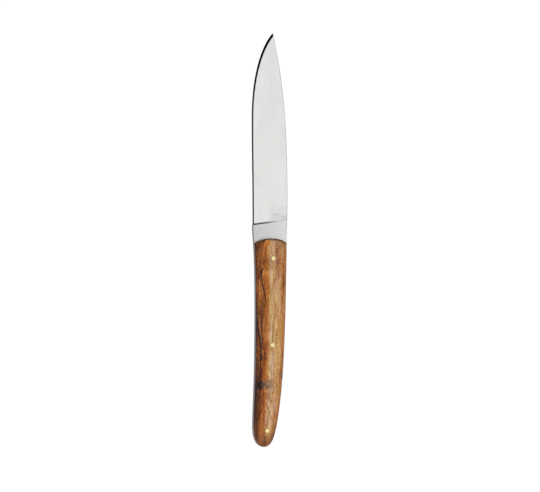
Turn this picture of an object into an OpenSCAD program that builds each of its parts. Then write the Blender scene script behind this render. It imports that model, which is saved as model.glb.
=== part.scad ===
// Steak knife with a full tang: one steel blank, two wooden scales and three through-pins.
// It lies on its side: +Y runs to the tip, +X to the spine, -X to the cutting edge, +Z to the front face.

/* [Blade] */
// Length of the blade on the middle line, from the shoulder of the grind to the tip
blade_l = 103.3; // [85:0.1:125]
// Width of the blank at the shoulder, from the cutting edge to the spine
blade_w = 19.7; // [17:0.1:24]
// How far the belly of the cutting edge swells past the heel
belly_out = 0.5; // [0:0.05:1.5]
// How far the tip lies from the middle line, towards the spine
tip_rise = 1.6; // [-1:0.1:4]
// Thickness of the ground blade at the spine, just ahead of the shoulder
spine_t = 2.3; // [1.6:0.05:2.4]
// Thickness of the ground blade behind the edge, at the heel
heel_t = 0.42; // [0.3:0.02:0.7]
// Thickness that the ground faces would have at the tip, before it is sharpened
tip_t = 1.4; // [1.2:0.05:1.8]
// Thickness left at the cutting edge itself
edge_t = 0.08; // [0.04:0.02:0.16]
// Width of the sharpened bevel at the heel
bevel_heel_w = 0.7; // [0.5:0.05:1.2]
// Width of the sharpened bevel at the tip
bevel_tip_w = 1.3; // [0.6:0.05:1.6]
// Chamfer that eases the two corners of the spine
spine_chamfer = 0.3; // [0.1:0.05:0.5]

/* [Ricasso and tang] */
// Thickness of the steel blank, as left on the ricasso and the tang
stock_t = 2.5; // [2.45:0.05:3.5]
// Length of the bare ricasso on the middle line, from the scales to the shoulder
ricasso_l = 8.5; // [6:0.1:14]
// Lean of the shoulder line, in degrees, with its spine end nearer to the tip
shoulder_lean = 7.2; // [0:0.1:12]
// Radius of the hollow where the shoulder meets the ground face
shoulder_r = 0.9; // [0.5:0.05:2]

/* [Handle] */
// Length of the handle on the middle line, from the butt to the front of the scales
handle_l = 113.2; // [95:0.1:130]
// Distance from the middle line to the belly side of the handle, at its waist
waist_x = 8.4; // [7:0.1:9.6]
// Distance from the middle line to the belly side of the handle, at the hooked butt
hook_x = 9.7; // [8.5:0.05:11.5]
// Distance from the butt to the widest point of the hook
hook_l = 11; // [9:0.5:16]
// Distance from the middle line to the back of the handle, behind the front of the scales
back_x = 9.3; // [8:0.05:10.5]
// Distance from the middle line to the back of the handle, where the butt begins to round
rear_x = 3.9; // [2:0.1:6]
// Distance from the butt to the point where the back begins to round
rear_l = 13.2; // [10:0.1:17]
// How far the end of the butt lies from the middle line, towards the belly
butt_x = 3.6; // [1:0.1:5]

/* [Scales] */
// Thickness of a scale at its crown, over the front and the middle of the handle
scale_t = 4.5; // [3:0.1:6.5]
// Thickness of a scale at its crown, near the butt
scale_butt_t = 4.2; // [2.8:0.1:6]
// Radius of the arc that closes the front of the scales, seen from the face
front_arc_r = 18; // [13:0.5:40]
// Rounding of the front corner of a scale
front_round = 0.6; // [0.2:0.05:1.2]
// Length over which a scale rolls down to the tang at the butt
butt_round = 7; // [5:0.5:8]

/* [Pins] */
// Diameter of the through-pins
pin_d = 2.2; // [1.6:0.1:3.5]
// Clearance around a pin in its bores, on the radius
pin_clear = 0.04; // [0.01:0.01:0.1]
// Height of the polished dome on each end of a pin
pin_dome = 0.08; // [0.04:0.02:0.2]
// Distance from the front of the scales to the front pin
front_pin_l = 10.7; // [7:0.1:20]
// Distance from the front of the scales to the middle pin
middle_pin_l = 57.7; // [40:0.1:70]
// Distance from the butt to the rear pin
butt_pin_l = 9.2; // [8.2:0.1:14]

/* [Hidden] */

// Places along the knife, measured from the butt
half_t = stock_t / 2;
shoulder_y = handle_l + ricasso_l;
total_l = shoulder_y + blade_l;

// Middle of the finished knife's box across the blade
reach_left = max(blade_w / 2 + belly_out, hook_x);
reach_right = max(blade_w / 2, back_x);
mid_x = (reach_right - reach_left) / 2;

// Where the belly, the waist and the full width of the spine lie, as shares of blade and handle
belly_share = 0.56;
waist_share = 0.67;
front_back_share = 0.93;
spine_share = 0.11;

// Slope of the handle's back where the butt begins to round, across over along
rear_slope = 0.18;

// How strongly each stretch of the outline is drawn on before it turns, as shares of the way to
// the stretch's other end, across and along. The belly side comes first, from the butt to the tip.
butt_belly_share = [0.67, 0];
hook_butt_share = [0, 0.59];
hook_waist_share = [0, 0.19];
waist_hook_share = [0, 0.71];
waist_heel_share = [0, 0.8];
heel_waist_share = [0, 0.2];
heel_belly_share = [0, 0.39];
belly_heel_share = [0, 0.34];
belly_tip_share = [0, 0.46];
tip_belly_share = [0.58, 0.17];

// The same for the back and the spine, from the butt to the tip
butt_back_share = [0.52, 0];
rear_butt_share = 0.65;
rear_front_share = 0.22;
front_rear_share = [0.14, 0.5];
front_spine_share = [0, 0.25];
spine_front_share = [0, 0.25];
spine_tip_share = [0, 0.43];
tip_spine_share = [0.81, 0.32];

// Number of chords in one stretch of the outline
chords = 14;

// Points of the outline that lie closer than this share of the edge's thickness count as one
same_share = 0.1;

// Fineness of one scale: strips across it and steps along it
strips = 26;
body_steps = 30;
butt_steps = 10;
front_steps = 3;

// Steps of the dome on a pin's end
dome_steps = 3;

// Power of the oval section of the handle, and of the roll at its butt
oval_power = 2.1;
butt_power = 2.2;

// Share of the handle's length over which the front arc fades out of the steps of a scale, and how
// it fades
bow_share = 0.35;
bow_power = 2;

// Share of the shoulder's hollow behind which the sharpening starts, and how the bevel widens
bevel_start_share = 0.33;
bevel_power = 2;

// Share of the spine's chamfer that is there where it comes out of the scales
chamfer_start_share = 0.1;

// Share of the handle's length over which the scales thin towards the butt
thin_share = 0.7;

// Overrun of every cut past what it cuts
overrun = 2;

// Facets of a bore and of a pin
round_facets = 64;

// Half thickness of the knife's handle at its crown
crown_z = half_t + max(scale_t, scale_butt_t);

// One stretch of outline from a to d, drawn towards b and c
function curve(a, b, c, d) = [
  for (i = [0 : chords])
    let (t = i / chords)
      pow(1 - t, 3) * a + 3 * t * pow(1 - t, 2) * b + 3 * t * t * (1 - t) * c + pow(t, 3) * d
];

// A point that lies the given shares of the way from a to b, across and along
function part_way(a, b, share) = [a.x + share.x * (b.x - a.x), a.y + share.y * (b.y - a.y)];

// The points where the stretches of the outline meet
butt_end = [-butt_x, 0];
hook = [-hook_x, hook_l];
waist = [-waist_x, waist_share * handle_l];
heel = [-blade_w / 2, shoulder_y];
belly = [-blade_w / 2 - belly_out, shoulder_y + belly_share * blade_l];
tip = [tip_rise, total_l];
spine_full = [blade_w / 2, shoulder_y + spine_share * blade_l];
back_front = [back_x, front_back_share * handle_l];
rear = [rear_x, rear_l];
rear_way = [rear_slope, 1];

// The belly side of the handle, from the butt to the heel
handle_belly = concat(
  curve(butt_end, part_way(butt_end, hook, butt_belly_share),
    part_way(hook, butt_end, hook_butt_share), hook),
  curve(hook, part_way(hook, waist, hook_waist_share),
    part_way(waist, hook, waist_hook_share), waist),
  curve(waist, part_way(waist, heel, waist_heel_share),
    part_way(heel, waist, heel_waist_share), heel)
);

// The cutting edge, from the heel to the tip
cutting_edge = concat(
  curve(heel, part_way(heel, belly, heel_belly_share),
    part_way(belly, heel, belly_heel_share), belly),
  curve(belly, part_way(belly, tip, belly_tip_share), part_way(tip, belly, tip_belly_share), tip)
);

// The back of the handle, from the butt to the front of the scales
handle_back = concat(
  curve(butt_end, part_way(butt_end, rear, butt_back_share),
    rear - rear_butt_share * rear.y * rear_way, rear),
  curve(rear, rear + rear_front_share * (back_front.y - rear.y) * rear_way,
    part_way(back_front, rear, front_rear_share), back_front)
);

// The back of the ricasso and the spine, from the front of the scales to the tip
spine_line = concat(
  curve(back_front, part_way(back_front, spine_full, front_spine_share),
    part_way(spine_full, back_front, spine_front_share), spine_full),
  curve(spine_full, part_way(spine_full, tip, spine_tip_share),
    part_way(tip, spine_full, tip_spine_share), tip)
);

// Steps of a line that lie apart, so that no point is there twice
function clean(line) = [
  for (i = [0 : len(line) - 1])
    if (i == 0 || norm(line[i] - line[max(i - 1, 0)]) > same_share * edge_t) line[i]
];

belly_line = clean(concat(handle_belly, cutting_edge));
back_line = clean(concat(handle_back, spine_line));

// Both sides of the outline as tables of the place across, looked up by the place along
belly_table = [for (p = belly_line) [p.y, p.x]];
back_table = [for (p = back_line) [p.y, p.x]];
function belly_at(y) = lookup(y, belly_table);
function back_at(y) = lookup(y, back_table);
function middle_at(y) = (belly_at(y) + back_at(y)) / 2;

// Closed outline of the blank, up the belly side and back down the spine
blank_outline = concat(
  belly_line,
  [for (i = [len(back_line) - 2 : -1 : 1]) back_line[i]]
);

// The ground face is a plane through the heel, the spine at the shoulder, and the tip
shoulder_w = blade_w / cos(shoulder_lean);
shoulder_edge_y = shoulder_y - blade_w / 2 * tan(shoulder_lean);
shoulder_foot = [heel.x, shoulder_edge_y];
shoulder_way = [cos(shoulder_lean), sin(shoulder_lean)];
ahead_way = [-sin(shoulder_lean), cos(shoulder_lean)];
rise_to_spine = (spine_t - heel_t) / 2 / shoulder_w;
rise_to_tip = ((tip_t - heel_t) / 2 - rise_to_spine * ((tip - shoulder_foot) * shoulder_way))
  / ((tip - shoulder_foot) * ahead_way);
function ahead_of_shoulder(p) = (p - shoulder_foot) * ahead_way;
function ground_z(p) = heel_t / 2
  + rise_to_spine * ((p - shoulder_foot) * shoulder_way) + rise_to_tip * ahead_of_shoulder(p);
function face_z(p) = ahead_of_shoulder(p) > 0 ? ground_z(p) : half_t;

// Turns that lay the grinding cut on that plane
grind_roll = -atan(rise_to_spine);
grind_pitch = atan(rise_to_tip * cos(grind_roll));

// Metal ground off the front face, with the hollow of the shoulder at its foot
module grind_cut() {
  cut = [blade_l, blade_l + blade_w, stock_t];
  translate([shoulder_foot.x, shoulder_foot.y, heel_t / 2])
    rotate([0, 0, shoulder_lean])
      rotate([grind_pitch, grind_roll, 0])
        translate([-overrun, 0, 0]) {
          translate([0, shoulder_r, 0]) cube(cut);
          translate([0, 0, shoulder_r]) cube(cut);
          translate([0, shoulder_r, shoulder_r])
            rotate([0, 90, 0]) cylinder(r = shoulder_r, h = cut.x, $fn = round_facets);
        }
}

// Direction of a line at its point i
function way_at(line, i) =
  let (d = line[min(i + 1, len(line) - 1)] - line[max(i - 1, 0)]) d / norm(d);

// The middles of a line's chords
function halfway(line) = [for (i = [1 : len(line) - 1]) (line[i - 1] + line[i]) / 2];

// The same line carried on past its last point
function run_on(line, l) =
  let (last = len(line) - 1) concat(line, [line[last] + l * way_at(line, last)]);

// A cut along one side of the blade. At each point of the line it passes through the height low
// there and the height high a width w further in. side is 1 where the metal lies to the right.
module side_cut(line, side, w, low, high) {
  last = len(line) - 1;
  rings = [
    for (i = [0 : last])
      let (
        way = way_at(line, i),
        inward = side * [way.y, -way.x],
        slope = (high[i] - low[i]) / w[i],
        out_run = line[i] - overrun / 2 * inward,
        in_run = line[i] + (w[i] + overrun / 2) * inward
      )
        [
          [out_run.x, out_run.y, low[i] - slope * overrun / 2],
          [in_run.x, in_run.y, high[i] + slope * overrun / 2],
          [in_run.x, in_run.y, high[i] + slope * overrun / 2 + stock_t],
          [out_run.x, out_run.y, high[i] + slope * overrun / 2 + stock_t]
        ]
  ];
  points = [for (ring = rings) for (p = ring) p];
  walls = [
    for (i = [0 : last - 1])
      for (k = [0 : 3])
        let (a = 4 * i + k, b = 4 * i + (k + 1) % 4)
          each [[a, b, b + 4], [a, b + 4, a + 4]]
  ];
  ends = [[3, 2, 1, 0], [4 * last, 4 * last + 1, 4 * last + 2, 4 * last + 3]];
  faces = concat(walls, ends);
  polyhedron(points, side > 0 ? faces : [for (f = faces) [for (k = [len(f) - 1 : -1 : 0]) f[k]]]);
}

// The line that is sharpened: from just ahead of the shoulder, along the edge, past the tip
bevel_start = shoulder_foot + [0, bevel_start_share * shoulder_r];
sharpened = concat([bevel_start], [for (p = belly_line) if (p.y > bevel_start.y + edge_t) p]);
bevel_line = run_on(concat([bevel_start], halfway(sharpened)), overrun);
bevel_w = [
  for (p = bevel_line)
    let (along = min(1, (p.y - bevel_start.y) / blade_l))
      bevel_heel_w + (bevel_tip_w - bevel_heel_w) * pow(along, bevel_power)
];

// Sharpened bevel on the front face
module bevel_cut() {
  side_cut(
    bevel_line, 1, bevel_w,
    [for (p = bevel_line) edge_t / 2],
    [
      for (i = [0 : len(bevel_line) - 1])
        let (way = way_at(bevel_line, i)) ground_z(bevel_line[i] + bevel_w[i] * [way.y, -way.x])
    ]
  );
}

// The spine's eased corner: it fades in ahead of the scales and runs past the tip
chamfer_start = handle_l;
chamfer_line = run_on(halfway([for (p = back_line) if (p.y > chamfer_start) p]), overrun);
chamfer_w = [
  for (p = chamfer_line)
    spine_chamfer * min(1, chamfer_start_share + (p.y - chamfer_start) / ricasso_l)
];

// Chamfer on the front corner of the spine
module chamfer_cut() {
  side_cut(
    chamfer_line, -1, chamfer_w,
    [for (i = [0 : len(chamfer_line) - 1]) face_z(chamfer_line[i]) - chamfer_w[i]],
    [for (p = chamfer_line) face_z(p)]
  );
}

// Where the pins stand, on the middle of the handle
pin_places = [
  for (y = [handle_l - front_pin_l, handle_l - middle_pin_l, butt_pin_l]) [middle_at(y), y]
];

// Thickness of a scale at its crown, with the roll at the butt
function thin_at(y) =
  scale_butt_t + (scale_t - scale_butt_t) * sin(90 * min(1, y / (thin_share * handle_l)));
function crown_at(y) =
  thin_at(y) * pow(1 - pow(max(0, 1 - y / butt_round), butt_power), 1 / butt_power);

// Height of a scale over the tang at the share u of its half width: a slice of the oval handle
function oval_h(u, crown) =
  let (
    full = crown + half_t,
    flat = pow(1 - pow(half_t / full, oval_power), 1 / oval_power)
  )
    full * pow(1 - pow(abs(u) * flat, oval_power), 1 / oval_power) - half_t;

// How far the front arc has fallen back at the place x across
function arc_drop(x) = front_arc_r - sqrt(front_arc_r * front_arc_r - x * x);

// Steps along a scale: the place along its middle, and the share of its height there
scale_steps = concat(
  [
    for (i = [0 : front_steps])
      let (a = 90 * i / front_steps)
        [handle_l - front_round * (1 - cos(a)), 1 - front_round / scale_t * (1 - sin(a))]
  ],
  [
    for (i = [1 : body_steps])
      let (l = handle_l - front_round - butt_round)
        [butt_round + l * (1 - i / body_steps), 1]
  ],
  [for (i = [1 : butt_steps - 1]) [butt_round * (1 - sin(90 * i / butt_steps)), 1]]
);

// Share of the front arc that a step still follows
function bow_at(y) = pow(max(0, 1 - (handle_l - y) / (bow_share * handle_l)), bow_power);

// One point of a scale: step i along it, share u of the half width across it
function scale_point(i, u) =
  let (
    y = scale_steps[i][0],
    bow = bow_at(y),
    a = belly_at(y - bow * arc_drop(belly_at(y))),
    b = back_at(y - bow * arc_drop(back_at(y))),
    x = (a + b) / 2 + u * (b - a) / 2,
    at = y - bow * arc_drop(x)
  )
    [x, at, half_t + (abs(u) == 1 ? 0 : scale_steps[i][1] * oval_h(u, crown_at(at)))];

// The front scale as one closed skin, with its flat face on the tang
module scale_body() {
  last = len(scale_steps) - 1;
  shares = [for (k = [0 : strips]) k == 0 ? -1 : k == strips ? 1 : -cos(180 * k / strips)];
  skin = [for (i = [0 : last]) for (u = shares) scale_point(i, u)];
  butt = [[butt_end.x, butt_end.y, half_t]];
  foot = [for (k = [1 : strips - 1]) [skin[k].x, skin[k].y, half_t]];
  w = strips + 1;
  butt_i = len(skin);
  foot_i = butt_i;
  top = [
    for (i = [0 : last - 1])
      for (k = [0 : strips - 1])
        let (a = i * w + k)
          each [[a, a + 1, a + w + 1], [a, a + w + 1, a + w]]
  ];
  end = [for (k = [0 : strips - 1]) [last * w + k, last * w + k + 1, butt_i]];
  front = [
    for (k = [0 : strips - 1])
      each k == 0 ? [[1, 0, foot_i + 1]]
        : k == strips - 1 ? [[strips, strips - 1, foot_i + k]]
        : [[k + 1, k, foot_i + k], [k + 1, foot_i + k, foot_i + k + 1]]
  ];
  under = concat(
    [concat([for (k = [1 : strips - 1]) foot_i + k], [strips, 0])],
    [for (i = [0 : last - 1]) [i * w, i * w + strips, (i + 1) * w + strips, (i + 1) * w]],
    [[last * w, last * w + strips, butt_i]]
  );
  polyhedron(concat(skin, butt, foot), concat(top, end, front, under));
}

// Bores for the three pins, through everything that they hold
module pin_bores() {
  for (p = pin_places)
    translate([p.x, p.y, -crown_z - overrun])
      cylinder(d = pin_d + 2 * pin_clear, h = 2 * (crown_z + overrun), $fn = round_facets);
}

// One through-pin, from one crown of the handle to the other, with domed ends
module pin(place) {
  h = half_t + crown_at(place.y);
  r = pin_d / 2;
  dome_r = (r * r + pin_dome * pin_dome) / (2 * pin_dome);
  sweep = asin(r / dome_r);
  dome = [
    for (i = [0 : dome_steps])
      let (a = sweep * i / dome_steps) [dome_r * sin(a), h + pin_dome - dome_r * (1 - cos(a))]
  ];
  translate([place.x, place.y, 0])
    rotate_extrude($fn = round_facets)
      polygon(concat(dome, [for (i = [dome_steps : -1 : 0]) [dome[i].x, -dome[i].y]]));
}

// Puts the knife on its side: lowest crown on the ground, middle of its box over the origin
module laid() {
  translate([-mid_x, -total_l / 2, crown_z]) children();
}

module blade_and_tang() {
  color([0.8, 0.8, 0.8])
    laid()
      difference() {
        translate([0, 0, -half_t]) linear_extrude(stock_t) polygon(blank_outline);
        for (turn = [0, 1])
          mirror([0, 0, turn]) {
            grind_cut();
            bevel_cut();
            chamfer_cut();
          }
        pin_bores();
      }
}

module front_scale() {
  color([0.66, 0.42, 0.22])
    laid()
      difference() {
        scale_body();
        pin_bores();
      }
}

module back_scale() {
  color([0.62, 0.39, 0.2])
    laid()
      difference() {
        mirror([0, 0, 1]) scale_body();
        pin_bores();
      }
}

module front_pin() {
  color([0.9, 0.8, 0.5]) laid() pin(pin_places[0]);
}

module middle_pin() {
  color([0.9, 0.8, 0.5]) laid() pin(pin_places[1]);
}

module butt_pin() {
  color([0.9, 0.8, 0.5]) laid() pin(pin_places[2]);
}

blade_and_tang();
front_scale();
back_scale();
front_pin();
middle_pin();
butt_pin();
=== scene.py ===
import math

import bpy
import numpy as np
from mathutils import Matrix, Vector


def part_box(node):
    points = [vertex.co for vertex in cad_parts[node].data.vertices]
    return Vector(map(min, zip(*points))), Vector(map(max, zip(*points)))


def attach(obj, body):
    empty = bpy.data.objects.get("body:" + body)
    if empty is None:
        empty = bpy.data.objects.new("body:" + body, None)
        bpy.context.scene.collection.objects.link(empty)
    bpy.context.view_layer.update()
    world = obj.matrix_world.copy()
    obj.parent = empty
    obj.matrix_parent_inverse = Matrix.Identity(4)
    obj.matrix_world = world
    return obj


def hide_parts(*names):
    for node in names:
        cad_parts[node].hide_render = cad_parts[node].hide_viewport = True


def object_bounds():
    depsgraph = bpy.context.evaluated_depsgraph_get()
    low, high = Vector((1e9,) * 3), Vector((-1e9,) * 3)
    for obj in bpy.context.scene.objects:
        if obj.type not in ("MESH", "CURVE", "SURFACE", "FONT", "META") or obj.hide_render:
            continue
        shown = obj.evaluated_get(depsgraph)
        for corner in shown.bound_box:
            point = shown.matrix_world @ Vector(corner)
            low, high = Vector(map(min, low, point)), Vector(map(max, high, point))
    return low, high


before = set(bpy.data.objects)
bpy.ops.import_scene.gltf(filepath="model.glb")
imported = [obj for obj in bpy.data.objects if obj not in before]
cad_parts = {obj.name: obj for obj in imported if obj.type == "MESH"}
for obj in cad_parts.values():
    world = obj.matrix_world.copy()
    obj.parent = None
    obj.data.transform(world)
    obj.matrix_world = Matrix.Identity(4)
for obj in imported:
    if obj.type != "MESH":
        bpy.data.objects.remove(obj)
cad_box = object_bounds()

# The steel blank
# Blade, ricasso and full tang are one piece of stainless steel. The blade is ground flat from
# spine to edge ahead of a slanted shoulder, finished satin across, and sharpened with a bright
# bevel whose dark grey colour is painted reflection. The flats keep a dull grain, with painted
# shade in the corner under the shoulder and towards the ricasso's edge side, and the rim of the
# tang is ground on a belt along the knife; the dark grey of spine and rim is partly painted
# reflection.

MM = 0.001
SHOULDER_LEAN = math.radians(7.2)


class Wire:
    """One output of a shader node. Python's operators on it add Math nodes."""

    def __init__(self, nodes, socket):
        self.nodes = nodes
        self.socket = socket

    def math(self, operation, *values):
        return self.nodes.node(
            "ShaderNodeMath", {"operation": operation}, dict(enumerate(values)))

    def __add__(self, other):
        return self.math("ADD", self, other)

    def __sub__(self, other):
        return self.math("SUBTRACT", self, other)

    def __rsub__(self, other):
        return self.math("SUBTRACT", other, self)

    def __mul__(self, other):
        return self.math("MULTIPLY", self, other)

    def __truediv__(self, other):
        return self.math("DIVIDE", self, other)

    def __pow__(self, other):
        return self.math("POWER", self, other)

    def __abs__(self):
        return self.math("ABSOLUTE", self)

    __radd__ = __add__
    __rmul__ = __mul__


class Nodes:
    """A node tree, and ways to add to it."""

    def __init__(self, tree):
        self.tree = tree

    def node(self, kind, settings=None, inputs=None, output=0):
        """Adds one node: its settings first, then the values or links of its sockets."""
        made = self.tree.nodes.new(kind)
        for name, value in (settings or {}).items():
            setattr(made, name, value)
        for socket, value in (inputs or {}).items():
            self.join(value, made.inputs[socket])
        return Wire(self, made.outputs[output])

    def join(self, value, socket):
        """Links a wire to a socket, or sets the socket to a value."""
        if isinstance(value, Wire):
            self.tree.links.new(value.socket, socket)
        elif isinstance(value, tuple) and len(value) == 3 and socket.type == "RGBA":
            socket.default_value = (*value, 1.0)
        else:
            socket.default_value = value

    def outputs(self, kind, inputs=None):
        """Every output of a new node."""
        first = self.node(kind, inputs=inputs)
        return [Wire(self, socket) for socket in first.socket.node.outputs]

    def parts(self, vector):
        return self.outputs("ShaderNodeSeparateXYZ", {0: vector})

    def vector(self, x, y, z=0.0):
        return self.node("ShaderNodeCombineXYZ", inputs={0: x, 1: y, 2: z})

    def noise(self, vector, detail=2.0, rough=0.5, scale=1.0):
        return self.node(
            "ShaderNodeTexNoise", {"noise_dimensions": "3D"},
            {"Vector": vector, "Scale": scale, "Detail": detail, "Roughness": rough})

    def step(self, wire, low, high, at_low=0.0, at_high=1.0):
        """Runs smoothly from one value to the other while the wire goes from low to high."""
        return self.node(
            "ShaderNodeMapRange", {"interpolation_type": "SMOOTHSTEP"},
            {0: wire, 1: low, 2: high, 3: at_low, 4: at_high})

    def ramp(self, wire, stops, kind="LINEAR"):
        made = self.node("ShaderNodeValToRGB", inputs={"Fac": wire})
        ramp = made.socket.node.color_ramp
        ramp.interpolation = kind
        while len(ramp.elements) < len(stops):
            ramp.elements.new(1.0)
        for element, (position, colour) in zip(ramp.elements, stops):
            element.position = position
            element.color = (*colour, 1.0)
        return made

    def mix(self, share, colour, other, blend="MIX"):
        return self.node(
            "ShaderNodeMix", {"data_type": "RGBA", "blend_type": blend},
            {0: share, 6: colour, 7: other}, output=2)

    def grey(self, wire):
        return self.node("ShaderNodeCombineColor", inputs={0: wire, 1: wire, 2: wire})

    def bump(self, height, depth, strength=1.0):
        return self.node(
            "ShaderNodeBump", inputs={"Strength": strength, "Distance": depth, "Height": height})

    def place_mm(self):
        """Object coordinates in millimetres."""
        place = self.node("ShaderNodeTexCoord", output=3)
        return self.node(
            "ShaderNodeVectorMath", {"operation": "SCALE"}, {0: place, "Scale": 1 / MM})


class Finish(Nodes):
    """A material whose Principled shader is fed by wires."""

    def __init__(self, name, **constants):
        self.material = bpy.data.materials.new(name)
        self.material.use_nodes = True
        super().__init__(self.material.node_tree)
        self.shader = self.tree.nodes["Principled BSDF"]
        self.feed(**constants)

    def feed(self, **wires):
        for socket, wire in wires.items():
            self.join(wire, self.shader.inputs[socket.replace("_", " ")])


def only(piece):
    """Selects one piece and nothing else."""
    for other in bpy.context.selected_objects:
        other.select_set(False)
    piece.select_set(True)
    bpy.context.view_layer.objects.active = piece


MERGE_WITHIN = 0.001 * MM


def joined_copy(node, name):
    """A piece with a CAD node's shape, whose loose triangles are merged into one skin."""
    piece = bpy.data.objects.new(name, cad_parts[node].data.copy())
    piece.data.name = name
    piece.data.materials.clear()
    bpy.context.collection.objects.link(piece)
    only(piece)
    if piece.data.has_custom_normals:
        bpy.ops.mesh.customdata_custom_splitnormals_clear()
    bpy.ops.object.mode_set(mode="EDIT")
    bpy.ops.mesh.select_all(action="SELECT")
    bpy.ops.mesh.remove_doubles(threshold=MERGE_WITHIN)
    bpy.ops.object.mode_set(mode="OBJECT")
    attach(piece, "root")
    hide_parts(node)
    return piece


def crease_round(piece, faces):
    """Marks the border of a group of faces sharp, so that shading breaks there."""
    only(piece)
    bpy.ops.object.mode_set(mode="EDIT")
    bpy.ops.mesh.select_mode(type="FACE")
    bpy.ops.mesh.select_all(action="DESELECT")
    bpy.ops.object.mode_set(mode="OBJECT")
    for face in faces:
        piece.data.polygons[face].select = True
    bpy.ops.object.mode_set(mode="EDIT")
    bpy.ops.mesh.region_to_loop()
    bpy.ops.mesh.mark_sharp()
    bpy.ops.mesh.select_mode(type="VERT")
    bpy.ops.object.mode_set(mode="OBJECT")


def on_blade_mm(finish):
    """Along the shoulder line, square to it, and up, in millimetres."""
    slanted = finish.node(
        "ShaderNodeMapping", {"vector_type": "POINT"},
        {"Vector": finish.place_mm(), "Rotation": (0.0, 0.0, -SHOULDER_LEAN)})
    return finish.parts(slanted)


WARM_STEEL = (1.0, 1.0, 0.98)
BELT_TINT = (1.0, 0.95, 0.9)


def satin_steel(corner_at):
    """Ground faces: a fine satin across the blade, dull in the corner under the shoulder and
    darkened there by painted shade.
    """
    steel = Finish("satin_steel", Metallic=1.0)
    along, ahead, z = on_blade_mm(steel)
    fine = steel.noise(steel.vector(along * 0.12, ahead * 11.0, z), 3.0, 0.6)
    broad = steel.noise(steel.vector(along * 0.16, ahead * 1.1, z), 2.0, 0.6)
    cloud = steel.noise(steel.vector(along * 0.16, ahead * 0.05, z), 2.0, 0.6)
    from_corner = ahead - corner_at / MM
    near = steel.step(from_corner, 0.0, 10.0, 1.0, 0.0)
    to_spine = steel.step(along, -1.5, 5.0)
    # Painted shade: the base colour is darkened in the corner under the shoulder, which is also
    # rougher.
    corner = steel.step(from_corner, 0.05, 0.7, 1.0, 0.0) * (1.0 - to_spine * 0.9)
    light = 0.81 + (fine - 0.5) * 0.02 + (broad - 0.5) * (0.06 + near * to_spine * 0.5)
    light = light + (cloud - 0.5) * 0.13 - near * to_spine * 0.14 - along * 0.0014
    steel.feed(
        Base_Color=steel.mix(
            1.0, steel.grey(light * (1.0 - corner * 0.85)), WARM_STEEL, "MULTIPLY"),
        Roughness=0.27 + (fine - 0.5) * 0.08 + corner * 0.2,
        Normal=steel.bump(fine + broad * 0.4, 0.006 * MM, 0.12))
    return steel.material


def ricasso_steel():
    """Flats of ricasso and tang: a fine-grained dull finish without direction, with painted shade
    making it a little darker towards the edge's side.
    """
    steel = Finish("ricasso_steel", Metallic=1.0)
    place = steel.place_mm()
    mottle = steel.noise(place, 2.0, 0.6, scale=1.0)
    speck = steel.noise(place, 3.0, 0.7, scale=4.0)
    # The last term is painted shade: the base gets a little darker towards the edge's side.
    light = 0.655 + (mottle - 0.5) * 0.30 + (speck - 0.5) * 0.22 + steel.parts(place)[0] * 0.007
    steel.feed(
        Base_Color=steel.mix(1.0, steel.grey(light), WARM_STEEL, "MULTIPLY"),
        Roughness=0.30 + (speck - 0.5) * 0.16,
        Normal=steel.bump(speck + mottle, 0.010 * MM, 0.5))
    return steel.material


def bevel_painted_reflection():
    """The sharpened bevel: nearly a mirror, with faint marks of the hone, and a dark grey base
    colour that is painted reflection.
    """
    steel = Finish("bevel_painted_reflection", Metallic=1.0)
    along, ahead, z = on_blade_mm(steel)
    hone = steel.noise(steel.vector(along * 3.0, ahead * 5.0, z), 2.0)
    # Painted reflection: the dark grey base makes the mirror bevel read dark.
    steel.feed(
        Base_Color=steel.grey(0.12 + (hone - 0.5) * 0.07),
        Roughness=0.15 + (hone - 0.5) * 0.08)
    return steel.material


def belt_steel_painted_dark():
    """Spine and rim of the tang: belt lines along the knife, a duller grey, whose darkness is
    partly painted reflection.
    """
    steel = Finish("belt_steel_painted_dark", Metallic=1.0)
    x, y, z = steel.parts(steel.place_mm())
    lines = steel.noise(steel.vector(x * 1.5, y * 0.12, z * 9.0), 3.0, 0.6)
    cloud = steel.noise(steel.vector(x * 0.1, y * 0.1, z), 1.0)
    # The low base is partly the belt finish and partly painted dark reflection.
    light = 0.155 + (lines - 0.5) * 0.09 + (cloud - 0.5) * 0.05
    steel.feed(
        Base_Color=steel.mix(1.0, steel.grey(light), BELT_TINT, "MULTIPLY"),
        Roughness=0.38 + (lines - 0.5) * 0.16,
        Normal=steel.bump(lines, 0.006 * MM, 0.4))
    return steel.material


GROUND, FLAT, BEVEL, RIM = range(4)
AHEAD = Vector((-math.sin(SHOULDER_LEAN), math.cos(SHOULDER_LEAN), 0.0))
HOLLOW = 1.2 * MM
LEVEL = 0.9999


def steel_region(normal, centre):
    """Which finish a face of the blank has, told from the way it faces."""
    if abs(normal.z) > LEVEL:
        return FLAT
    if normal.x < -0.1 and abs(normal.y) < 1.3 * abs(normal.x) and abs(normal.z) > 0.6:
        return BEVEL
    from_shoulder = abs(centre.dot(AHEAD) - shoulder_at)
    if normal.dot(AHEAD) > 0.3 and normal.x < 0.3 and from_shoulder < HOLLOW:
        return GROUND
    if abs(normal.z) < 0.3 or normal.x > 0.3:
        return RIM
    return GROUND


blank = joined_copy("blade_and_tang", "steel_blank")
blank_low, blank_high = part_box("blade_and_tang")
middle_z = (blank_low.z + blank_high.z) / 2
stock_t = blank_high.z - blank_low.z
shoulder_at = max(
    blank.data.vertices[v].co.dot(AHEAD)
    for face in blank.data.polygons if abs(face.normal.z) > LEVEL
    for v in face.vertices)
regions = [steel_region(face.normal, face.center) for face in blank.data.polygons]
for material in (satin_steel(shoulder_at), ricasso_steel(), bevel_painted_reflection(), belt_steel_painted_dark()):
    blank.data.materials.append(material)
for face, region in zip(blank.data.polygons, regions):
    face.material_index = region
only(blank)
bpy.ops.object.shade_smooth()
for kind in (FLAT, BEVEL, RIM):
    crease_round(blank, [i for i, region in enumerate(regions) if region == kind])
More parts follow.
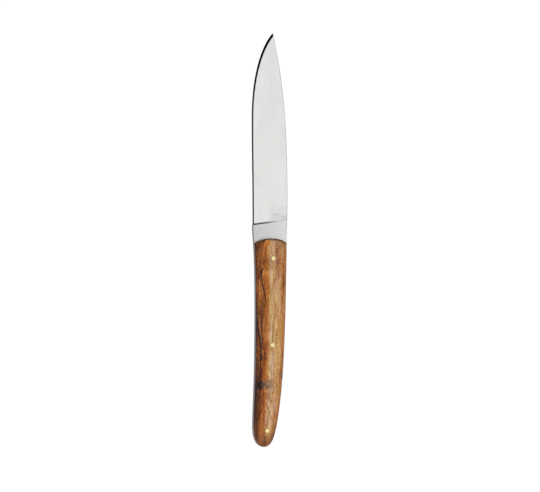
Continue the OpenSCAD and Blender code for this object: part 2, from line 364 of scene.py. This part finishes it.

# The front scale
# A slab of figured, oiled wood, glued to the tang's front face, held by the pins and shaped with
# the tang to one oval. Its grain runs along the handle, parts round small knots and carries dark
# veins, a black knot and smoky and red patches. Painted shade darkens it on its front end, behind
# its front arc, on both rims and towards the butt.

# In millimetres: half the handle's width, how far up the butt's hook reaches, the radius of the
# front arc, how much of the handle one unit of the grain map covers, and the handle's middle line
# as heights and places across.
HALF_ACROSS = 9.0
HOOK_TO = 9.0
FRONT_ARC_R = 18.0
MAP_UNIT = 100.0
MIDDLE_LINE = ((0.0, 60.0, 113.0), (-3.4, 0.0, 0.2))
WOOD_CREASE = math.radians(40)


def map_grain(piece):
    """A UV map along the handle: the share across from belly to back, and up from the butt."""
    spots = np.array([vertex.co for vertex in piece.data.vertices]) / MM
    butt = spots[:, 1].min()
    rim = spots[abs(abs(spots[:, 2] - middle_z / MM) - stock_t / MM / 2) < 0.002]
    rim[:, 1] -= butt
    rim = rim[rim[:, 1].argsort()]
    centre = np.interp(rim[:, 1], *MIDDLE_LINE)
    belly, back = rim[rim[:, 0] < centre - 3.0], rim[rim[:, 0] > centre + 3.0]
    up = spots[:, 1] - butt
    held = np.maximum(up, HOOK_TO)
    low = np.interp(held, belly[:, 1], belly[:, 0])
    high = np.interp(held, back[:, 1], back[:, 0])
    across = 0.5 + (spots[:, 0] - (low + high) / 2) / (high - low)
    grain = piece.data.uv_layers.new(name="grain")
    corners = np.zeros(len(piece.data.loops), int)
    piece.data.loops.foreach_get("vertex_index", corners)
    grain.data.foreach_set(
        "uv", np.column_stack((across, up / MAP_UNIT))[corners].ravel().astype(np.float32))


def knot_pull(across, up, knots):
    """How far the grain lines are pushed aside by the knots, as a stream round posts."""
    pushed = 0.0
    for share, height, size, stretch in knots:
        aside = across - share * 2 * HALF_ACROSS
        away = (up - height) / stretch
        pushed = pushed + aside * (size * size) / (aside * aside + away * away + size * size * 0.4)
    return pushed


def track(wood, up, points):
    """Up to three values that run smoothly along the handle through given points."""
    low, high = points[0][0], points[-1][0]
    part = wood.node("ShaderNodeMapRange", inputs={0: up, 1: low, 2: high})
    line = wood.ramp(
        part,
        [((height - low) / (high - low), (*values, 0.0, 0.0)[:3]) for height, *values in points],
        "CARDINAL")
    return wood.outputs("ShaderNodeSeparateColor", {0: line})


def from_oval(wood, spot, middle, height, half, length):
    """How far a spot lies from an oval's middle: 1 on its border."""
    inside = wood.node("ShaderNodeVectorMath", {"operation": "MULTIPLY_ADD"}, {
        0: spot, 1: (1 / (half * 2 * HALF_ACROSS), 1 / length, 0.0),
        2: (-middle / half, -height / length, 0.0)})
    return wood.node("ShaderNodeVectorMath", {"operation": "LENGTH"}, {0: inside}, output=1)


def figured_wood(name, seed, border, knots, tones, veins, stains, rings):
    """Oiled figured wood: heartwood and sapwood, streaks that bend round knots, stains and veins.

    A place is a share of the width from belly to back and a height in millimetres from the butt.
    border: height, share. knots: share, height, size, stretch. tones, stains and rings end with an
    oval's place, half width and half length, after a shift of tone, a colour and strength, or a
    colour, strength and thickness. veins: colour, and height, share, half width and strength.
    """
    wood = Finish(name, Coat_Weight=0.04, Coat_Roughness=0.25, Specular_IOR_Level=0.14)
    share, up, _ = wood.parts(wood.node("ShaderNodeUVMap", {"uv_map": "grain"}))
    up = up * MAP_UNIT
    x, y, z = wood.parts(wood.place_mm())
    depth = abs(z - middle_z / MM)
    across = share * (2 * HALF_ACROSS)
    sway = wood.noise(wood.vector(across * 0.12, up * 0.05, z * 0.08 + seed), 2.0)
    curl = wood.noise(wood.vector(across * 0.32, up * 0.17, z * 0.3 + seed), 3.0, 0.6)
    fleck = wood.noise(wood.vector(across * 1.3, up * 0.75, z * 1.1 + seed), 2.0, 0.6)
    grain = across + depth * 0.4 + (sway - 0.5) * 5.0 + (curl - 0.5) * 3.2 + (fleck - 0.5) * 0.5
    grain = grain - knot_pull(across, up, knots)
    broad = wood.noise(wood.vector(grain * 0.34, up * 0.02, z * 0.1 + seed), 2.0, 0.55)
    streak = wood.noise(wood.vector(grain * 1.1, up * 0.05, z * 0.35 + seed), 3.0, 0.65)
    fibre = wood.noise(wood.vector(grain * 5.5, up * 0.25, z * 2.5 + seed), 3.0, 0.6)
    pore = wood.noise(wood.vector(grain * 11.0, up * 0.9, z * 8.0 + seed), 1.0)
    pore = wood.step(pore, 0.66, 0.74)
    warmth = wood.noise(wood.vector(grain * 0.55, up * 0.07, z * 0.2 + seed + 9.0), 2.0)
    shake = (curl - 0.5) * 1.3 + (fleck - 0.5) * 0.6 + (fibre - 0.5) * 0.2
    spot = wood.vector(across + shake, up + shake * 1.3)
    torn = wood.vector(across + shake * 1.6, up - shake * 2.2)

    from_border = share - track(wood, up, border)[0] + shake * 0.055
    heart = wood.step(from_border, -0.05, 0.12, 1.0, 0.0)
    tone = wood.parts(wood.ramp(from_border + 0.4, HEART_TONES))[0]
    # Painted shade: the tone drops along the belly rim.
    tone = tone - wood.step(share, 0.0, 0.06, 0.14, 0.0)
    for shift, *form in tones:
        tone = tone + wood.step(from_oval(wood, spot, *form), 0.3, 1.0, shift, 0.0)
    tone = tone + (broad - 0.5) * 0.6 + (streak - 0.5) * 1.05
    tone = tone + (fibre - 0.5) * (0.5 + heart * 0.3) + (fleck - 0.5) * 0.62
    colour = wood.ramp(tone, WOOD_TONES)
    tint = wood.mix(wood.step(warmth, 0.35, 0.65), COOL_TINT, WARM_TINT)
    # The tint across the handle is partly the wood's colour and partly painted shade on both rims.
    tint = wood.mix(1.0, tint, wood.ramp(share + shake * 0.09, ACROSS_TINT_AND_RIM_SHADE), "MULTIPLY")
    colour = wood.mix(1.0, colour, tint, "MULTIPLY")

    grained = 0.75 + (streak - 0.5) * 1.1 + (fibre - 0.5) * 0.7
    for stain, strength, *form in stains:
        soaked = wood.step(from_oval(wood, spot, *form), 0.35, 1.0, strength, 0.0)
        colour = wood.mix(soaked * grained, colour, stain)
    for stain, strength, thickness, *form in rings:
        away = abs(from_oval(wood, torn, *form) - 1.0)
        shown = wood.step(away, 0.0, thickness, strength, 0.0) * wood.step(fleck, 0.40, 0.56)
        colour = wood.mix(shown, colour, stain)
    bent = share + shake * 0.02
    for stain, points in veins:
        middle, half, strength = track(wood, up, points)
        line = wood.step(abs(bent - middle) / half, 0.2, 1.0, 1.0, 0.0)
        colour = wood.mix(line * strength, colour, stain)

    thread = wood.noise(wood.vector(grain * 2.4, up * 0.09, z * 0.9 + seed), 2.0, 0.5)
    colour = wood.mix(wood.step(thread, 0.60, 0.72) * 0.5, colour, UMBER)
    colour = wood.mix(pore * 0.45, colour, PORE)
    # Round each pin the wood is darkened in a thin ring, partly a stain and partly painted shadow
    # at the joint.
    collar = 1.0
    for x_pin, y_pin in pin_places:
        from_pin = ((x - x_pin) ** 2.0 + (y - y_pin) ** 2.0) ** 0.5
        collar = collar * wood.step(from_pin, 1.08, 1.42)
    # Painted shade: faces turned to the tip, on the front rounding, are darkened, partly as darker
    # end grain.
    faces_tip = wood.parts(wood.node("ShaderNodeNewGeometry", output=1))[1]
    end = wood.step(faces_tip, 0.12, 0.55)
    seam = wood.step(depth - stock_t / MM / 2, 0.02, 0.5, 1.0, 0.0)
    # Painted shade: a band of the wood behind the front arc is darkened.
    behind_arc = front_y - FRONT_ARC_R + (FRONT_ARC_R ** 2 - x * x) ** 0.5 - y
    shade_behind_arc = wood.step(behind_arc + shake * 0.3, 0.6, 1.9, 1.0, 0.0) * wood.step(share, 0.2, 0.45)
    # The dark colour stands for a glue line along the tang, and for painted shade at the front
    # end, behind the front arc and, in part, round the pins.
    clean_and_unshaded = (0.7 + collar * 0.3) * (1.0 - end * 0.92) * (1.0 - seam * 0.6) * (1.0 - shade_behind_arc * 0.6)
    colour = wood.mix(clean_and_unshaded, GRIME_AND_SHADE, colour)
    wood.feed(
        Base_Color=colour,
        Roughness=0.42 + (fibre - 0.5) * 0.15 + pore * 0.2 + (broad - 0.5) * 0.1,
        Normal=wood.bump(fibre * 0.6 + streak * 0.4 - pore * 0.5 + collar * 0.5, 0.05 * MM, 0.45))
    return wood.material


PINS = ("front_pin", "middle_pin", "butt_pin")
pin_places = []
for node in PINS:
    low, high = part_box(node)
    pin_places.append(((low.x + high.x) / 2 / MM, (low.y + high.y) / 2 / MM))
front_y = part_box("front_scale")[1].y / MM

WOOD_TONES = [
    (0.0, (0.018, 0.008, 0.006)), (0.2, (0.085, 0.026, 0.012)), (0.4, (0.27, 0.085, 0.020)),
    (0.58, (0.44, 0.18, 0.052)), (0.78, (0.57, 0.315, 0.135)), (1.0, (0.70, 0.465, 0.24))]
HEART_TONES = [
    (0.0, (0.22,) * 3), (0.2, (0.28,) * 3), (0.32, (0.37,) * 3), (0.40, (0.46,) * 3),
    (0.47, (0.62,) * 3), (0.62, (0.76,) * 3), (0.82, (0.72,) * 3), (0.98, (0.58,) * 3)]
# Tint from belly to back: partly the wood's colour, partly painted shade darkening both rims.
ACROSS_TINT_AND_RIM_SHADE = [
    (0.0, (0.76, 0.62, 0.55)), (0.10, (1.01, 1.0, 0.88)), (0.27, (1.0, 0.70, 0.27)),
    (0.42, (0.97, 1.11, 1.34)), (0.60, (0.95, 1.00, 1.12)), (0.82, (1.0, 1.02, 0.96)),
    (0.93, (0.91, 0.80, 0.40)), (1.0, (0.72, 0.58, 0.34))]
COOL_TINT = (1.06, 1.01, 1.18)
WARM_TINT = (1.06, 1.08, 0.86)
BLACK_BROWN = (0.022, 0.010, 0.007)
# Dark brown for a glue line and for painted shade.
GRIME_AND_SHADE = (0.03, 0.016, 0.011)
PORE = (0.05, 0.022, 0.012)
SOOT = (0.06, 0.024, 0.015)
DARK_RED = (0.10, 0.026, 0.011)
SMOKE = (0.10, 0.05, 0.03)
UMBER = (0.17, 0.075, 0.035)
PURPLE = (0.18, 0.088, 0.062)
# Dark brown used only for painted shade at the butt end.
WALNUT_SHADE = (0.20, 0.075, 0.028)
MAROON = (0.22, 0.06, 0.018)
PALE_SMOKE = (0.22, 0.135, 0.085)
RED = (0.26, 0.070, 0.020)
CHESTNUT = (0.30, 0.11, 0.03)
DUN = (0.33, 0.19, 0.11)
GREY = (0.34, 0.225, 0.155)
BROWN = (0.35, 0.175, 0.080)
FAWN = (0.37, 0.19, 0.078)
RUST = (0.40, 0.15, 0.036)
COPPER = (0.41, 0.145, 0.040)
AMBER = (0.42, 0.15, 0.04)
ORANGE = (0.45, 0.165, 0.040)
ROSE = (0.47, 0.26, 0.16)
TAN = (0.50, 0.27, 0.13)
HONEY = (0.62, 0.40, 0.14)
STRAW = (0.66, 0.42, 0.20)

front_border = [
    (0.0, 0.32), (8.0, 0.34), (17.0, 0.31), (25.0, 0.27), (34.0, 0.25), (40.0, 0.24), (44.0, 0.28),
    (50.0, 0.30), (54.0, 0.34), (59.0, 0.28), (66.0, 0.26), (76.0, 0.26), (83.0, 0.22),
    (88.0, 0.17), (94.0, 0.13), (103.0, 0.11), (113.0, 0.09)]
front_knots = [
    (0.13, 94.5, 0.9, 1.6), (0.31, 99.0, 1.6, 1.4), (0.63, 99.3, 0.9, 1.5), (0.18, 55.3, 1.0, 1.8),
    (0.145, 33.8, 1.9, 1.7), (0.475, 32.8, 1.7, 1.2), (0.94, 38.2, 0.9, 1.6)]
front_tones = [
    (0.16, 0.62, 84.0, 0.16, 9.0), (0.20, 0.608, 67.0, 0.07, 4.5), (0.20, 0.43, 60.5, 0.06, 4.5),
    (0.05, 0.52, 46.0, 0.22, 8.0), (0.08, 0.75, 23.0, 0.09, 4.0), (-0.27, 0.24, 105.0, 0.22, 10.0),
    (-0.12, 0.31, 89.0, 0.12, 6.0), (0.14, 0.074, 88.0, 0.035, 4.0),
    (-0.15, 0.40, 28.0, 0.14, 4.5), (-0.08, 0.60, 96.5, 0.16, 4.0), (-0.12, 0.9, 91.0, 0.1, 12.0),
    # The last entry on the next line, across the whole width at the butt, is painted shade
    # darkening the butt end.
    (-0.05, 0.16, 78.0, 0.12, 7.0), (-0.22, 0.85, 5.0, 0.35, 10.0), (-0.30, 0.5, -1.0, 0.8, 12.0),
    (0.10, 0.38, 107.0, 0.10, 6.0), (0.16, 0.70, 75.0, 0.11, 8.0), (-0.12, 0.80, 15.0, 0.20, 8.0),
    (-0.12, 0.40, 36.5, 0.16, 3.5), (0.12, 0.23, 62.0, 0.10, 10.0),
    (-0.14, 0.08, 109.5, 0.12, 4.0), (0.14, 0.13, 84.0, 0.08, 7.0), (0.14, 0.11, 69.0, 0.07, 9.0)]
front_stains = [
    (ORANGE, 0.55, 0.18, 104.0, 0.15, 9.0), (ORANGE, 0.45, 0.31, 89.0, 0.11, 6.5),
    (RUST, 0.50, 0.15, 78.0, 0.10, 7.0), (ROSE, 0.45, 0.66, 94.5, 0.14, 5.0),
    (PURPLE, 0.80, 0.255, 80.1, 0.035, 1.7), (HONEY, 0.45, 0.81, 76.0, 0.035, 5.0),
    (ORANGE, 0.50, 0.93, 62.0, 0.07, 16.0), (ORANGE, 0.40, 0.93, 100.0, 0.06, 9.0),
    (AMBER, 0.55, 0.27, 62.0, 0.10, 8.0), (RED, 0.90, 0.176, 55.3, 0.06, 1.7),
    (RED, 0.50, 0.29, 55.5, 0.13, 0.45), (DARK_RED, 0.90, 0.24, 49.5, 0.10, 3.4),
    (TAN, 0.50, 0.20, 67.0, 0.05, 3.0), (DARK_RED, 0.85, 0.13, 41.5, 0.10, 4.4),
    (BLACK_BROWN, 0.80, 0.126, 47.7, 0.035, 1.4), (BLACK_BROWN, 1.5, 0.155, 33.9, 0.18, 3.7),
    (SOOT, 0.85, 0.09, 28.0, 0.06, 5.5), (PALE_SMOKE, 0.95, 0.43, 34.0, 0.30, 3.9),
    (SMOKE, 0.9, 0.31, 33.4, 0.18, 2.4), (BROWN, 0.55, 0.40, 28.6, 0.12, 4.0),
    (MAROON, 0.70, 0.20, 23.0, 0.13, 6.5), (COPPER, 0.65, 0.22, 8.0, 0.22, 11.0),
    (BLACK_BROWN, 1.30, 0.935, 38.4, 0.075, 2.4), (CHESTNUT, 0.5, 0.90, 9.0, 0.10, 7.0),
    (ORANGE, 0.50, 0.25, 66.0, 0.10, 12.0), (DUN, 0.65, 0.72, 110.5, 0.24, 5.5),
    # The last stain on the next line, across the whole width at the butt, is painted shade
    # darkening the butt end.
    (UMBER, 0.75, 0.76, 99.8, 0.14, 0.4), (WALNUT_SHADE, 0.55, 0.5, -1.0, 0.8, 10.0)]
front_rings = [
    (STRAW, 0.70, 0.20, 0.475, 32.4, 0.20, 2.4), (UMBER, 0.45, 0.15, 0.50, 32.8, 0.22, 2.9),
    (DARK_RED, 1.0, 0.45, 0.32, 99.2, 0.055, 0.9), (DARK_RED, 1.0, 0.32, 0.31, 99.1, 0.115, 1.8),
    (DARK_RED, 0.8, 0.22, 0.30, 99.0, 0.18, 2.8), (UMBER, 0.65, 0.20, 0.635, 101.3, 0.075, 2.0)]
front_veins = [
    (BLACK_BROWN, [
        (75.5, 0.283, 0.012, 0.0), (78.2, 0.274, 0.024, 0.65), (80.9, 0.254, 0.028, 0.85),
        (83.1, 0.229, 0.032, 1.0), (85.0, 0.200, 0.034, 1.0), (87.4, 0.174, 0.032, 1.0),
        (89.6, 0.158, 0.028, 1.0), (91.8, 0.150, 0.032, 0.85), (93.9, 0.130, 0.042, 1.0),
        (95.0, 0.126, 0.050, 1.0), (96.7, 0.170, 0.045, 0.9), (97.6, 0.235, 0.03, 0.0)]),
    (PURPLE, [
        (95.2, 0.590, 0.020, 0.0), (97.4, 0.596, 0.030, 0.3), (99.2, 0.628, 0.045, 0.55),
        (100.2, 0.618, 0.055, 0.85), (101.6, 0.602, 0.042, 0.6), (103.2, 0.588, 0.038, 0.45),
        (104.9, 0.585, 0.042, 0.6), (106.4, 0.602, 0.045, 0.75), (107.8, 0.650, 0.042, 0.65),
        (108.9, 0.72, 0.035, 0.5), (109.8, 0.77, 0.03, 0.0)]),
    (UMBER, [
        (100.4, 0.345, 0.014, 0.0), (101.3, 0.348, 0.018, 0.5), (104.0, 0.381, 0.020, 0.5),
        (105.6, 0.428, 0.020, 0.45), (107.6, 0.45, 0.018, 0.0)]),
    (UMBER, [
        (101.8, 0.292, 0.012, 0.0), (102.7, 0.293, 0.014, 0.5), (104.6, 0.300, 0.014, 0.5),
        (105.8, 0.305, 0.012, 0.0)]),
    (DARK_RED, [
        (84.8, 0.815, 0.018, 0.0), (86.3, 0.82, 0.026, 0.6), (88.0, 0.838, 0.032, 0.75),
        (90.4, 0.858, 0.032, 0.75), (92.9, 0.845, 0.026, 0.6), (95.0, 0.84, 0.02, 0.0)]),
    (UMBER, [
        (83.6, 0.566, 0.012, 0.0), (85.2, 0.566, 0.018, 0.5), (87.4, 0.559, 0.018, 0.6),
        (91.0, 0.516, 0.018, 0.5), (93.5, 0.53, 0.012, 0.0)]),
    (DARK_RED, [
        (71.5, 0.36, 0.012, 0.0), (73.8, 0.347, 0.020, 0.7), (75.5, 0.322, 0.020, 0.75),
        (77.1, 0.298, 0.018, 0.6), (79.0, 0.28, 0.012, 0.0)]),
    (BLACK_BROWN, [
        (54.0, 0.12, 0.014, 0.0), (55.3, 0.111, 0.026, 0.7), (59.1, 0.096, 0.032, 0.85),
        (61.9, 0.062, 0.040, 0.9), (64.8, 0.032, 0.045, 0.9), (68.9, 0.034, 0.040, 0.7),
        (73.5, 0.03, 0.03, 0.0)]),
    (DARK_RED, [
        (55.0, 0.168, 0.018, 0.6), (58.0, 0.166, 0.024, 0.8), (61.9, 0.143, 0.024, 0.9),
        (65.7, 0.143, 0.026, 0.9), (68.9, 0.139, 0.030, 0.9), (72.5, 0.11, 0.032, 0.8),
        (77.0, 0.10, 0.03, 0.0)]),
    (FAWN, [
        (55.8, 0.148, 0.012, 0.0), (57.0, 0.142, 0.018, 0.4), (62.9, 0.110, 0.024, 0.6),
        (66.2, 0.099, 0.026, 0.6), (69.5, 0.066, 0.030, 0.5), (73.0, 0.024, 0.03, 0.0)]),
    (RED, [
        (61.5, 0.30, 0.012, 0.0), (62.4, 0.290, 0.018, 0.7), (64.3, 0.245, 0.020, 0.8),
        (65.7, 0.243, 0.020, 0.8), (67.6, 0.257, 0.018, 0.7), (69.4, 0.26, 0.012, 0.0)]),
    (UMBER, [
        (57.6, 0.498, 0.016, 0.5), (61.9, 0.500, 0.024, 0.85), (64.8, 0.490, 0.022, 0.8),
        (67.3, 0.476, 0.018, 0.6), (70.5, 0.47, 0.012, 0.0)]),
    (RED, [
        (52.2, 0.37, 0.018, 0.0), (53.5, 0.33, 0.026, 0.6), (54.6, 0.25, 0.035, 0.6),
        (55.4, 0.18, 0.035, 0.0)]),
    (BLACK_BROWN, [
        (46.8, 0.125, 0.018, 0.4), (49.0, 0.127, 0.024, 0.8), (51.2, 0.130, 0.020, 0.75),
        (54.4, 0.142, 0.016, 0.0)]),
    (ORANGE, [
        (48.8, 0.205, 0.014, 0.0), (49.9, 0.198, 0.020, 0.8), (53.1, 0.178, 0.020, 0.8),
        (54.6, 0.176, 0.016, 0.0)]),
    (UMBER, [
        (45.5, 0.558, 0.014, 0.0), (47.2, 0.557, 0.016, 0.45), (52.6, 0.544, 0.016, 0.5),
        (55.4, 0.52, 0.012, 0.0)]),
    (DARK_RED, [
        (13.6, 0.70, 0.014, 0.0), (15.6, 0.645, 0.020, 0.7), (17.5, 0.556, 0.022, 0.8),
        (20.5, 0.490, 0.022, 0.8), (23.2, 0.387, 0.022, 0.8), (25.4, 0.306, 0.022, 0.6),
        (27.6, 0.26, 0.016, 0.0)]),
    (STRAW, [
        (16.2, 0.66, 0.03, 0.0), (17.8, 0.655, 0.040, 0.5), (20.2, 0.610, 0.060, 0.75),
        (23.2, 0.505, 0.050, 0.7), (25.4, 0.378, 0.032, 0.5), (26.8, 0.33, 0.02, 0.0)]),
    (PURPLE, [
        (8.0, 0.81, 0.014, 0.0), (10.5, 0.79, 0.020, 0.6), (13.4, 0.760, 0.022, 0.7),
        (17.5, 0.728, 0.022, 0.7), (21.6, 0.684, 0.020, 0.65), (24.3, 0.625, 0.020, 0.6),
        (25.9, 0.506, 0.024, 0.5), (27.6, 0.45, 0.016, 0.0)]),
    (UMBER, [
        (9.0, 0.53, 0.012, 0.0), (10.7, 0.520, 0.016, 0.55), (17.5, 0.454, 0.016, 0.55),
        (20.0, 0.44, 0.012, 0.0)]),
    (BLACK_BROWN, [
        (1.0, 0.10, 0.030, 0.3), (5.0, 0.088, 0.035, 0.6), (11.0, 0.088, 0.035, 0.7),
        (15.8, 0.072, 0.035, 0.7), (21.5, 0.012, 0.03, 0.0)]),
]

front_scale = joined_copy("front_scale", "front_scale_wood")
map_grain(front_scale)
front_scale.data.materials.append(figured_wood(
    "front_wood", 0.0, front_border, front_knots, front_tones, front_veins, front_stains,
    front_rings))
only(front_scale)
bpy.ops.object.shade_smooth_by_angle(angle=WOOD_CREASE)

# The back scale
# The other slab, glued to the tang's back face and cut from the same board, so it has the same
# wood with its own figure. The photo doesn't show it, so its veins and knots are made up.

back_border = [
    (0.0, 0.22), (24.0, 0.30), (46.0, 0.20), (66.0, 0.12), (88.0, 0.26), (113.0, 0.34)]
back_knots = [(0.68, 46.0, 1.8, 1.7), (0.35, 93.0, 1.1, 1.5), (0.5, 24.0, 0.9, 1.8)]
back_tones = [
    (-0.22, 0.80, 60.0, 0.20, 18.0), (0.14, 0.50, 70.0, 0.16, 10.0),
    (-0.16, 0.44, 92.0, 0.20, 9.0)]
back_veins = [
    (BLACK_BROWN, [
        (58.0, 0.74, 0.020, 0.0), (66.0, 0.70, 0.030, 0.7), (74.0, 0.73, 0.034, 0.9),
        (83.0, 0.66, 0.026, 0.7), (90.0, 0.64, 0.020, 0.0)]),
    (UMBER, [
        (12.0, 0.36, 0.020, 0.0), (22.0, 0.42, 0.024, 0.7), (33.0, 0.38, 0.024, 0.6),
        (45.0, 0.46, 0.020, 0.0)]),
    (DARK_RED, [
        (62.0, 0.20, 0.025, 0.0), (74.0, 0.24, 0.035, 0.7), (88.0, 0.19, 0.030, 0.6),
        (99.0, 0.22, 0.020, 0.0)]),
    (STRAW, [
        (14.0, 0.62, 0.020, 0.0), (24.0, 0.56, 0.045, 0.5), (36.0, 0.60, 0.030, 0.0)]),
]
back_stains = [
    (BLACK_BROWN, 1.0, 0.68, 46.0, 0.09, 2.4), (GREY, 0.7, 0.45, 47.0, 0.16, 2.4),
    (RED, 0.5, 0.30, 84.0, 0.16, 16.0), (ORANGE, 0.5, 0.75, 100.0, 0.16, 9.0),
    (DARK_RED, 0.6, 0.86, 30.0, 0.10, 8.0)]
back_rings = [
    (UMBER, 0.5, 0.16, 0.68, 46.0, 0.15, 4.0), (STRAW, 0.4, 0.12, 0.68, 46.0, 0.21, 5.6),
    (UMBER, 0.5, 0.2, 0.35, 93.0, 0.08, 1.9), (RED, 0.4, 0.14, 0.35, 93.0, 0.13, 3.0)]

back_scale = joined_copy("back_scale", "back_scale_wood")
map_grain(back_scale)
back_scale.data.materials.append(figured_wood(
    "back_wood", 40.0, back_border, back_knots, back_tones, back_veins, back_stains, back_rings))
only(back_scale)
bpy.ops.object.shade_smooth_by_angle(angle=WOOD_CREASE)

# The brass pins
# Three round brass rods run through both scales and the tang. Their ends are ground and polished
# with the wood, a little proud and domed, with fine turning marks and a darker rim.

BRIGHT_BRASS = (0.94, 0.82, 0.42)
WARM_BRASS = (0.90, 0.76, 0.36)
TARNISH = (0.42, 0.30, 0.12)
BRASS_CREASE = math.radians(30)


def polished_brass(x_pin, y_pin):
    """Brass turned about the pin's middle, a little tarnished at its rim."""
    brass = Finish("polished_brass", Metallic=1.0)
    x, y, z = brass.parts(brass.place_mm())
    x, y = x - x_pin, y - y_pin
    away = (x * x + y * y) ** 0.5
    rings = brass.noise(brass.vector(away * 12.0, 0.0, z), 2.0)
    cloud = brass.noise(brass.place_mm(), 2.0, scale=1.6)
    colour = brass.mix(cloud, BRIGHT_BRASS, WARM_BRASS)
    colour = brass.mix(brass.step(away, 0.85, 1.1) * 0.35, colour, TARNISH)
    brass.feed(
        Base_Color=colour, Roughness=0.24 + (rings - 0.5) * 0.14 + (cloud - 0.5) * 0.1,
        Normal=brass.bump(rings, 0.004 * MM, 0.4))
    return brass.material


for node, place in zip(PINS, pin_places):
    pin = joined_copy(node, node + "_brass")
    pin.data.materials.append(polished_brass(*place))
    only(pin)
    bpy.ops.object.shade_smooth_by_angle(angle=BRASS_CREASE)

# The room
# A plain white floor right under the knife, a white sky with a dark part on the edge's side,
# which the bevel mirrors, and one soft lamp from the lower left of the picture.

FLOOR_SIZE = 40.0
SEEN_WHITE = 0.93
LAMP_AT = (-0.55, -0.70, 1.10)
LAMP_SIZE = 0.8
LAMP_POWER = 10.0
DARK_AT = (-0.42, 0.10)
DARK_TO, WHITE_FROM = 0.31, 0.52

bpy.ops.mesh.primitive_plane_add(size=FLOOR_SIZE, location=(0.0, 0.0, cad_box[0].z))
floor = bpy.context.object
floor.name = "floor"
paper = Finish("floor_paper", Base_Color=(0.8, 0.8, 0.8), Roughness=0.9, Specular_IOR_Level=0.1)
shown = paper.node("ShaderNodeBsdfPrincipled", inputs={
    "Base Color": (0.12, 0.12, 0.12), "Roughness": 0.9, "Specular IOR Level": 0.1,
    "Emission Color": (1.0, 1.0, 1.0), "Emission Strength": SEEN_WHITE})
rays = {wire.socket.name: wire for wire in paper.outputs("ShaderNodeLightPath")}
seen = rays["Is Camera Ray"] + rays["Is Glossy Ray"] + rays["Is Transmission Ray"]
both = paper.node("ShaderNodeMixShader", inputs={
    0: seen, 1: Wire(paper, paper.shader.outputs[0]), 2: shown})
paper.join(both, paper.tree.nodes["Material Output"].inputs["Surface"])
floor.data.materials.append(paper.material)

world = bpy.data.worlds.new("studio")
bpy.context.scene.world = world
world.use_nodes = True
sky = Nodes(world.node_tree)
x, y, z = sky.parts(sky.node("ShaderNodeTexCoord"))
off = ((x - DARK_AT[0]) ** 2.0 + (y - DARK_AT[1]) ** 2.0 * 0.4) ** 0.5
level = sky.step(z, 0.15, 0.9, 0.45, 1.0) * sky.step(off, DARK_TO, WHITE_FROM, 0.03, 1.0)
from_camera = sky.outputs("ShaderNodeLightPath")[0]
sky.join(
    sky.mix(from_camera, sky.grey(level), (1.0, 1.0, 1.0)),
    world.node_tree.nodes["Background"].inputs["Color"])

bpy.ops.object.light_add(type="AREA", location=LAMP_AT)
key = bpy.context.object
key.name = "key"
key.data.shape = "SQUARE"
key.data.size = LAMP_SIZE
key.data.energy = LAMP_POWER
key.rotation_euler = key.location.to_track_quat("Z", "Y").to_euler()

# The camera
# It looks straight down on the middle of the picture, rolled 18.5 degrees round the knife's
# length towards its edge, so that the side of the tang shows at the left.

ROLL = math.radians(18.5)
MM_PER_PX = 0.544
PICTURE_WIDTH = 540
DISTANCE = 1.0
LOOKS_AT = (0.36, -3.35)
right = Vector((math.cos(ROLL), 0.0, math.sin(ROLL)))
back = Vector((-math.sin(ROLL), 0.0, math.cos(ROLL)))
target = Vector((0.0, LOOKS_AT[1] * MM, middle_z)) + right * LOOKS_AT[0] * MM
bpy.ops.object.camera_add(location=target + back * DISTANCE, rotation=(0.0, -ROLL, 0.0))
camera = bpy.context.object
camera.data.lens = camera.data.sensor_width * DISTANCE / (PICTURE_WIDTH * MM_PER_PX * MM)
bpy.context.scene.camera = camera
bpy.context.scene.view_settings.view_transform = "Standard"
